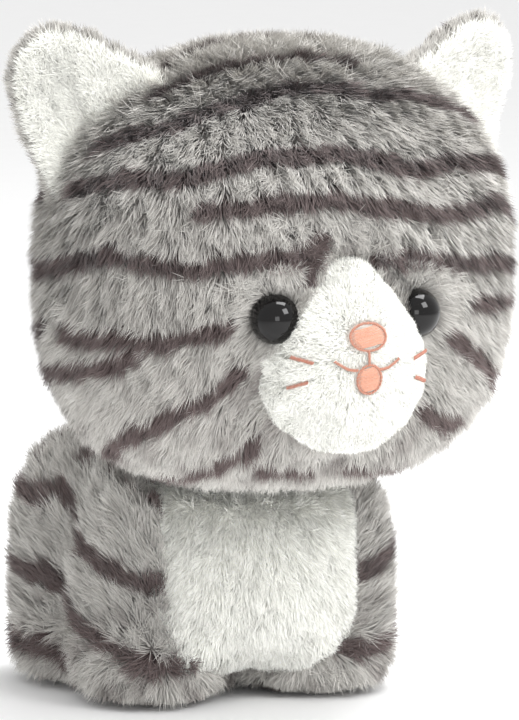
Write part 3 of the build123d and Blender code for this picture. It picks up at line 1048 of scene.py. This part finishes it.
# ---- Ears ------------------------------------------------------------------------
@dataclass
class Ear:
    """A cupped ear: a striped back and rim round a white lining."""

    side: int
    form: HeadForm
    foot: Array = field(default_factory=lambda: np.array([-68.0, 8.0, 15.0]))
    turn: float = 20.0
    climb: float = 49.5
    outline: tuple[tuple[float, float], ...] = (
        (3, -7), (6, 6), (10, 17), (17, 28), (26, 36), (34, 38.5), (41, 37), (48, 30), (52, 18), (54, 7),
        (56, -7))

    @property
    def word(self) -> str:
        """Left or right."""
        return "left" if self.side > 0 else "right"

    def axes(self) -> tuple[Array, Array, Array]:
        """The directions along the root, out of the head and out of the opening."""
        turn, climb = math.radians(self.turn), math.radians(self.climb)
        level = np.array([math.cos(turn), -math.sin(turn), 0.0])
        opening = np.array([-math.sin(turn), -math.cos(turn), 0.0])
        along = math.cos(climb) * level + math.sin(climb) * np.array([0.0, 0.0, 1.0])
        return along, np.cross(opening, along), opening

    def curve(self, share: Array) -> Array:
        """The ear's outline from one end of its root round to the other, for shares from 0 to 1."""
        points = np.array(self.outline, float)
        at = np.concatenate([[0], np.cumsum(np.linalg.norm(np.diff(points, axis=0), axis=1))])
        at /= at[-1]
        fine = np.stack([np.interp(share, at, points[:, i]) for i in range(2)], axis=1)
        for _ in range(10):
            fine[1:-1] = fine[1:-1] * 0.5 + (fine[:-2] + fine[2:]) * 0.25
        return fine

    def leaf(self, name: str, inset: float, front: float, back: float) -> bpy.types.Object:
        """One closed leaf of the ear, between two depths of its cup.

        Args:
            name: The new piece's name.
            inset: How far its edge stays inside the ear's outline.
            front: Depth of its front face, positive out of the opening.
            back: Depth of its back face.

        Returns:
            The new piece.
        """
        steps, rings = 64, 14
        edge = self.curve(np.linspace(0, 1, steps + 1))
        middle = np.array([29.0, 10.0])
        root = np.stack([np.linspace(edge[-1, 0], edge[0, 0], 24)[1:-1], np.full(22, -7.0)], axis=1)
        loop = np.concatenate([edge, root])
        inward = unit(middle - loop)
        loop = loop + inward * inset
        count = len(loop)
        layers = []
        for face, depth in ((0, front), (1, back)):
            for ring in range(rings + 1):
                share = ring / rings
                flat = middle + (loop - middle) * share
                pinch = 1 - share**6 * 0.75
                centre_depth = (front + back) / 2
                level = centre_depth + (depth - centre_depth) * pinch
                layers.append(np.column_stack([flat, level + self.cup(flat)]))
        points = np.concatenate(layers)
        faces = []
        for face in (0, 1):
            base = face * (rings + 1) * count
            for ring in range(rings):
                for i in range(count):
                    j = (i + 1) % count
                    quad = (base + ring * count + i, base + ring * count + j,
                            base + (ring + 1) * count + j, base + (ring + 1) * count + i)
                    faces.append(quad if face else quad[::-1])
        rim_a, rim_b = rings * count, (rings + 1) * count + rings * count
        for i in range(count):
            j = (i + 1) % count
            faces.append((rim_a + i, rim_a + j, rim_b + j, rim_b + i))
        along, out, opening = self.axes()
        world = self.form.centre + self.foot + points @ np.array([along, out, opening])
        if self.side > 0:
            world = world * np.array([-1.0, 1.0, 1.0])
        thing = mesh_object(name, world, [np.array(faces)])
        face_outwards(thing, weld=0.00002)
        return thing

    def local(self, points: Array) -> Array:
        """Places as along, out and opening from the root's end."""
        spots = points * (np.array([-1.0, 1.0, 1.0]) if self.side > 0 else 1.0)
        along, out, opening = self.axes()
        return (spots - self.form.centre - self.foot) @ np.array([along, out, opening]).T

    def level(self, points: Array) -> Array:
        """How far places lie in front of the cup's middle sheet."""
        at = self.local(points)
        return at[:, 2] - self.cup(at[:, :2])

    def cup(self, flat: Array) -> Array:
        """How far the cup and its crease bring each place forward."""
        bowl = ((flat - np.array([30.0, 12.0])) ** 2).sum(axis=1) / 105.0
        edge = flat[:, 0] - 27 - 0.55 * flat[:, 1]
        crease = smoothstep(-1.6, 1.6, edge) * np.exp(-np.maximum(edge, 0) / 12.0)
        return bowl + 3.6 * crease * np.exp(-((flat[:, 1] - 2) / 15.0) ** 2)

    def world(self, ways: Array) -> Array:
        """Directions given along, out and opening, turned into the toy's own."""
        turned = ways @ np.array(self.axes())
        return turned * (np.array([-1.0, 1.0, 1.0]) if self.side > 0 else 1.0)

    def comb(self, root: Array, normal: Array) -> Array:
        """Brushed from the root out to the ear's edge."""
        at = self.local(root)
        away = np.column_stack([(at[:, 0] - 29) * 0.6, np.full(len(at), 14.0), np.zeros(len(at))])
        comb = unit(self.world(away))
        return brushed(comb, normal)

    def stripe(self, points: Array) -> Array:
        """Where the dark stripes cross the ear's back."""
        at = self.local(points)
        off = np.abs((at[:, 1] + 3 * ripple(points, 20.0, 5)) % 15 - 7.5)
        return 0.9 * (1 - smoothstep(1.5, 3.5, off)) * (at[:, 2] < 1.5)

    def on_back(self, points: Array) -> Array:
        """The ear's back and rim, above the root."""
        return (self.local(points)[:, 1] > -4.5) & (self.level(points) < -0.4)

    def on_lining(self, points: Array) -> Array:
        """The open face of the lining, above the root."""
        return (self.local(points)[:, 1] > -4.5) & (self.level(points) > 1.5)

    def build(self) -> None:
        """Make the ear's back, lining and pile."""
        back = self.leaf(f"ear_{self.word}_back", 5.5, 0.5, -2.6)
        lining = self.leaf(f"ear_{self.word}_lining", 6.5, 2.6, 0.6)
        thin = quick_share()
        rim_fur = Pile(int(25000 * thin), 5.6, 0.38, (36.0, 62.0), self.comb, self.stripe, seed=60 + self.side)
        outer = rim_fur.grow(f"ear_{self.word}_pile", back, self.on_back, STRIPED)
        soft = Pile(int(18000 * thin), 4.4, 0.35, (26.0, 60.0), self.comb, no_stripe, seed=70 + self.side,
                    scatter=0.5)
        inner = soft.grow(f"ear_{self.word}_lining_pile", lining, self.on_lining, WHITE)
        dress_skin(back, self.stripe(coordinates(back)), STRIPED)
        dress_skin(lining, np.zeros(len(lining.data.vertices)), WHITE)
        body = Body.EAR_LEFT if self.side > 0 else Body.EAR_RIGHT
        for piece, slot in ((back, "striped_plush"), (outer, "striped_plush"), (lining, "white_plush"),
                            (inner, "white_plush")):
            fasten(piece, body)
        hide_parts(f"ear_{self.word}_outer")
        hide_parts(f"ear_{self.word}_inner")


# ---- Trunk -----------------------------------------------------------------------
@dataclass
class Trunk:
    """The stuffed body with its four legs, white chest and tail seat."""

    head: Array

    def lumps(self) -> list[tuple[Array, Array, float, float]]:
        """Centre, half sizes and fullness above and below of each stuffed bulge."""
        shift = self.head[1]
        bulges = [(np.array([0.0, shift + 46.0, 44.0]), np.array([42.0, 48.0, 33.0]), 3.2, 3.0)]
        for side in (1, -1):
            for out, behind, radius, height in ((24.5, 31.0, 23.5, 34.0), (27.5, 69.0, 25.5, 36.0)):
                middle = np.array([side * out, shift + behind, height])
                bulges.append((middle, np.array([radius, radius, height + 4.0]), 2.6, 6.0))
        return bulges

    def skin(self) -> bpy.types.Object:
        """The backing: bulges merged, then inflated as stitched cloth."""
        made = []
        for centre, half, top, bottom in self.lumps():
            ball = new_ball("bulge", 5)
            way = unit(coordinates(ball))
            size = half - 3.6
            scaled = np.abs(way) / size
            power = np.where(way[:, 2] > 0, top, bottom)
            level = np.hypot(scaled[:, 0], scaled[:, 1])
            reach = (level**power + scaled[:, 2]**power) ** (-1 / power)
            place(ball, centre + way * reach[:, None])
            made.append(ball)
        deselect()
        for ball in made:
            ball.select_set(True)
        bpy.context.view_layer.objects.active = made[0]
        bpy.ops.object.join()
        body = bpy.context.object
        body.name = "body_cover_backing"
        body.data.name = body.name
        remesh = body.modifiers.new("even", "REMESH")
        remesh.mode = "VOXEL"
        remesh.voxel_size = 4.0 * MM
        soften = body.modifiers.new("soften", "SMOOTH")
        soften.factor = 0.5
        soften.iterations = 5
        apply_modifiers(body)
        self.inflate(body)
        finer = body.modifiers.new("finer", "SUBSURF")
        finer.levels = finer.render_levels = 1
        apply_modifiers(body)
        points = coordinates(body)
        points[:, 2] = np.maximum(points[:, 2], 2.2)
        under = points[:, 2] > self.seat(points)
        points[under, 2] = self.seat(points)[under]
        place(body, points)
        return body

    def seat(self, points: Array) -> Array:
        """Height of the hollow under the head, with room for the pile."""
        back = points[:, 1] - self.head[1]
        return 135.5 - np.sqrt(np.maximum(81.5**2 - back**2, 1.0)) + 3.0

    def inflate(self, body: bpy.types.Object) -> None:
        """Blow the cloth up a little and keep how far each point may move within a cap."""
        rest = coordinates(body)
        cloth = body.modifiers.new("cloth", "CLOTH")
        settings = cloth.settings
        settings.use_pressure = True
        settings.uniform_pressure_force = 4.0
        settings.effector_weights.gravity = 0.0
        settings.quality = 5
        settings.mass = 0.3
        cloth.collision_settings.use_collision = False
        scene = bpy.context.scene
        for frame_number in range(1, 21):
            scene.frame_set(frame_number)
        apply_modifiers(body)
        scene.frame_set(1)
        moved = coordinates(body) - rest
        size = np.linalg.norm(moved, axis=1, keepdims=True)
        cap = 3.0
        place(body, rest + moved * np.minimum(1.0, cap / np.maximum(size, 1e-6)))

    def chest_depth(self, points: Array) -> Array:
        """Millimetres inside the white chest panel's outline; negative outside."""
        across = 29.5 - np.abs(points[:, 0])
        low = points[:, 2] - 9.0
        corner = 21.0
        inner_x, inner_z = np.maximum(corner - across, 0), np.maximum(corner - low, 0)
        depth = np.where((across < corner) & (low < corner), corner - np.hypot(inner_x, inner_z),
                         np.minimum(across, low))
        return np.where(points[:, 1] < self.head[1] + 26, depth, -50.0)

    def stripe(self, points: Array) -> Array:
        """Where the dark stripes are printed on the body and legs."""
        back = points[:, 1] - self.head[1]
        height = points[:, 2]
        side = np.abs(points[:, 0])
        wave = 1.5 * ripple(points, 26.0, 71)
        fore = (height - 0.45 * (back - 45) - 53.5 + wave) % 23.0
        rear = (height - 0.1 * (back - 80) - 36 + wave) % 22.0
        top = (back + 0.12 * side + wave) % 19.0
        bands = np.where(back < 57, np.minimum(fore, 23 - fore), np.minimum(rear, 22 - rear))
        bands = np.where(height > 66, np.minimum(top, 19 - top), bands)
        breaks = 1.2 * smoothstep(0.45, 0.9, ripple(points, 30.0, 73))
        thin = bands + breaks + 0.6 * ripple(points, 5.0, 75)
        mottle = 0.5 * smoothstep(0.15, 0.9, ripple(points, 13.0, 77)) * smoothstep(45, 15, height)
        return np.maximum(1 - smoothstep(2.3, 3.8, thin), mottle)

    def comb(self, root: Array, normal: Array) -> Array:
        """Brushed back and up over the body, and down on the feet."""
        up = smoothstep(10, 26, root[:, 2])[:, None]
        comb = up * np.array([0.0, 0.35, 0.9]) + (1 - up) * np.array([0.0, 0.1, -0.6])
        comb = comb + unit(root * np.array([1.0, 0.0, 0.0]) + 1e-6) * 0.15
        return brushed(comb, normal)

    def on_floor(self, middle: Array, tip: Array) -> Array:
        """Keep only strands that stay above what the cat stands on."""
        return (tip[:, 2] > 0.05) & (middle[:, 2] > 0.05)

    def length_at(self, root: Array) -> Array:
        """Shorter pile under the feet and beside the chest."""
        sole = 0.25 + 0.75 * smoothstep(3.0, 9.0, root[:, 2])
        chest = 0.7 + 0.3 * smoothstep(0, 8, -self.chest_depth(root))
        return sole * chest

    def chest(self, skin: bpy.types.Object) -> tuple[bpy.types.Object, bpy.types.Object]:
        """The white chest panel and its short pile."""
        panel = skin.copy()
        panel.data = skin.data.copy()
        panel.name = "chest_panel_backing"
        bpy.context.scene.collection.objects.link(panel)
        points = coordinates(panel)
        depth = self.chest_depth(points)
        rise = smoothstep(-2.0, 7.0, depth)[:, None]
        place(panel, points + vertex_normals(panel) * (5.0 * rise - 1.0))
        remove_vertices(panel, depth < -2.0)
        thin = quick_share()
        pile = Pile(int(44000 * thin), 4.0, 0.33, (22.0, 52.0), self.chest_comb, no_stripe, seed=81,
                    scatter=0.3, keep=self.on_floor)
        fur = pile.grow("chest_panel_pile", panel, lambda p: self.chest_depth(p) > -2.0, WHITE)
        dress_skin(panel, np.zeros(len(panel.data.vertices)), WHITE)
        return panel, fur

    def filling(self, skin: bpy.types.Object) -> None:
        """The fibre filling, packed just inside the cover."""
        fibre = skin.copy()
        fibre.data = skin.data.copy()
        fibre.name = "body_filling"
        fibre.data.name = fibre.name
        bpy.context.scene.collection.objects.link(fibre)
        points = coordinates(fibre)
        lumps = 0.5 * ripple(points, 12.0, 61)[:, None]
        place(fibre, points - vertex_normals(fibre) * (1.6 + lumps))
        fibre.data.materials.clear()
        fibre.data.materials.append(FIBRE.build())
        smooth(fibre)
        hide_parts("body_stuffing")
        fasten(fibre, Body.TRUNK)

    def chest_comb(self, root: Array, normal: Array) -> Array:
        """Short chest pile brushed down and outwards."""
        comb = np.array([0.0, 0.0, -1.0]) + root * np.array([0.02, 0.0, 0.0])
        return brushed(comb, normal)

    def build(self) -> None:
        """Make the trunk's cover, pile and chest and fasten them to the trunk."""
        skin = self.skin()
        thin = quick_share()

        def open_cover(points: Array) -> Array:
            return (self.chest_depth(points) < 0.5) & (points[:, 2] < self.seat(points) + 0.5)

        middle = self.head[1] + 50
        areas = {
            "body_pile_front": (39000, lambda p: open_cover(p) & (p[:, 1] < middle) & (p[:, 0] < 0)),
            "body_pile_front_left": (39000, lambda p: open_cover(p) & (p[:, 1] < middle) & (p[:, 0] >= 0)),
            "body_pile_rear": (44000, lambda p: open_cover(p) & (p[:, 1] >= middle) & (p[:, 0] < 0)),
            "body_pile_rear_left": (44000, lambda p: open_cover(p) & (p[:, 1] >= middle) & (p[:, 0] >= 0)),
        }
        pieces = [skin]
        for index, (name, (count, region)) in enumerate(areas.items()):
            pile = Pile(int(count * thin), 8.6, 0.36, (24.0, 52.0), self.comb, self.stripe,
                        seed=90 + index, length_at=self.length_at, keep=self.on_floor)
            pieces.append(pile.grow(name, skin, region, STRIPED))
        panel, fur = self.chest(skin)
        self.filling(skin)
        dress_skin(skin, self.stripe(coordinates(skin)), STRIPED)
        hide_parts("body_side_left", "body_side_right", "underside_gusset", "sole_front_left",
                    "sole_front_right", "sole_hind_left", "sole_hind_right")
        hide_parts("chest_panel")
        for piece in pieces:
            fasten(piece, Body.TRUNK)
        for piece in (panel, fur):
            fasten(piece, Body.TRUNK)


@dataclass
class Tail:
    """The short upright tail."""

    start: Array
    end: Array
    radius: float = TAIL_ROUND

    def build(self) -> None:
        """Make the tail's cover and pile."""
        ball = new_ball("tail_cover_backing", 5)
        way = unit(coordinates(ball))
        run = self.end - self.start
        length = np.linalg.norm(run)
        ahead = run / length
        side = unit(np.cross(ahead, [1.0, 0.0, 0.0]))
        other = np.cross(ahead, side)
        size = self.radius - 5.0
        reach = (way[:, 2] > 0) * length
        swell = 1 + 0.25 * np.sin(np.pi * np.clip((way[:, 2] + 1) / 2, 0, 1))
        points = (self.start + ahead * (way[:, 2] * size + reach)[:, None]
                  + (side * way[:, :1] + other * way[:, 1:2]) * size * swell[:, None])
        place(ball, points)
        even = ball.modifiers.new("even", "REMESH")
        even.mode = "VOXEL"
        even.voxel_size = 1.2 * MM
        soften = ball.modifiers.new("soften", "SMOOTH")
        soften.iterations = 4
        apply_modifiers(ball)

        def rings(points: Array) -> Array:
            off = (points - self.start) @ ahead + ripple(points, 9.0, 3)
            return 1 - smoothstep(1.6, 3.2, np.abs(off % 14 - 7))

        def comb(root: Array, normal: Array) -> Array:
            lay = np.broadcast_to(ahead, root.shape)
            return brushed(lay, normal)

        thin = quick_share()
        pile = Pile(int(13000 * thin), 8.0, 0.44, (34.0, 62.0), comb, rings, seed=120)
        fur = pile.grow("tail_pile", ball, lambda p: np.ones(len(p), bool), STRIPED)
        dress_skin(ball, rings(coordinates(ball)), STRIPED)
        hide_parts("tail_cover")
        for piece in (ball, fur):
            fasten(piece, Body.TAIL)


# ---- Studio ----------------------------------------------------------------------
@dataclass
class Studio:
    """The pale floor, soft lights and camera."""

    head: Array
    azimuth: float = -22.5
    elevation: float = 7.0
    distance: float = 1500.0
    view_height: float = 205.7

    def camera(self) -> None:
        """Set the camera on the toy's right front, level with its chest."""
        turn, rise = math.radians(self.azimuth), math.radians(self.elevation)
        back = np.array([math.sin(turn) * math.cos(rise), -math.cos(turn) * math.cos(rise), math.sin(rise)])
        right = np.array([math.cos(turn), math.sin(turn), 0.0])
        up = np.cross(back, right)
        target = self.head - right * 4.1 - up * 28.6
        data = bpy.data.cameras.new("camera")
        data.sensor_width = 36.0
        data.lens = 36.0 * self.distance / self.view_height
        data.clip_start, data.clip_end = 0.05, 20.0
        camera = bpy.data.objects.new("camera", data)
        bpy.context.scene.collection.objects.link(camera)
        camera.location = (target + back * self.distance) * MM
        axes = np.stack([right, up, back], axis=1)
        camera.rotation_euler = Matrix(axes.tolist()).to_euler()
        bpy.context.scene.camera = camera

    def lamp(self, name: str, place_at: tuple[float, float, float], size: float, power: float) -> None:
        """A soft square lamp that faces the toy."""
        data = bpy.data.lights.new(name, "AREA")
        data.size = size
        data.energy = power
        lamp = bpy.data.objects.new(name, data)
        bpy.context.scene.collection.objects.link(lamp)
        lamp.location = place_at
        aim = Vector((0.0, 0.0, 0.1)) - Vector(place_at)
        lamp.rotation_euler = aim.to_track_quat("-Z", "Y").to_euler()

    def build(self) -> None:
        """Make the floor, the world light and the lamps."""
        deselect()
        bpy.ops.mesh.primitive_plane_add(size=8.0, location=(0.0, 0.0, 0.0))
        floor = bpy.context.object
        floor.name = "floor"
        material, sheet, shader = start_material("pale_floor")
        place_of = sheet.add("ShaderNodeTexCoord").outputs["Object"]
        grain = sheet.add("ShaderNodeTexNoise", inputs={"Vector": place_of, "Scale": 40.0})
        sheet.tree.links.new(sheet.mix(grain.outputs["Fac"], colour(0.95, 0.95, 0.95),
                                       colour(0.98, 0.98, 0.98)), shader.inputs["Base Color"])
        shader.inputs["Roughness"].default_value = 0.9
        floor.data.materials.append(material)
        world = bpy.data.worlds.new("studio")
        bpy.context.scene.world = world
        world.use_nodes = True
        sheet = Sheet(world.node_tree)
        seen = sheet.add("ShaderNodeLightPath").outputs["Is Camera Ray"]
        strength = sheet.add("ShaderNodeMapRange", inputs={"Value": seen, "To Min": 0.88, "To Max": 1.0})
        background = world.node_tree.nodes["Background"]
        background.inputs[0].default_value = (1.0, 1.0, 1.0, 1.0)
        world.node_tree.links.new(strength.outputs[0], background.inputs[1])
        self.lamp("key", (0.50, -0.95, 0.90), 0.5, 8.6)
        self.lamp("fill", (-0.45, -1.5, 0.35), 0.5, 3.2)
        self.lamp("top", (0.30, -0.10, 1.2), 0.6, 13.0)
        bpy.context.scene.view_settings.view_transform = "Standard"
        self.camera()


def dress_hidden_nodes(frame: dict) -> None:
    """Give the pieces inside the toy their own finishes."""
    finishes = {
        "head_stuffing": FIBRE, "neck_stuffing": FIBRE, "tail_stuffing": FIBRE,
        "pellet_pouch": POUCH_CLOTH, "eye_washer_left": WASHER_WHITE, "eye_washer_right": WASHER_WHITE,
    }
    for name, finish in finishes.items():
        node = frame["nodes"][name]
        node.data.materials.clear()
        node.data.materials.append(finish.build())


def main(frame: dict) -> None:
    """Build the whole toy round the frame."""
    logging.basicConfig(level=logging.INFO, format="%(message)s")
    back = np.array(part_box("head_back_panel")[1]) / MM
    crown = np.array(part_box("head_crown_panel")[1]) / MM
    head_centre = np.array([0.0, back[1] - HEAD_DEPTH, crown[2] - HEAD_HEIGHT])
    form = HeadForm(head_centre)
    Studio(head_centre).build()
    head = Head(form)
    head.build()
    for side, word in ((1, "left"), (-1, "right")):
        base, facing = head.eye_axis(side)
        SafetyEye(base, facing, f"eye_{word}").build()
        Ear(side, form).build()
    Stitching(form).build()
    Trunk(head_centre).build()
    tail_low, tail_high = (np.array(corner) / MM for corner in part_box("tail_cover"))
    Tail(np.array([0.0, tail_low[1] + TAIL_ROUND, tail_low[2] + TAIL_ROUND]),
         np.array([0.0, tail_high[1] - TAIL_ROUND, tail_high[2] - TAIL_ROUND])).build()
    dress_hidden_nodes(frame)


if __name__ == "__main__":
    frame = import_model()
    main(frame)
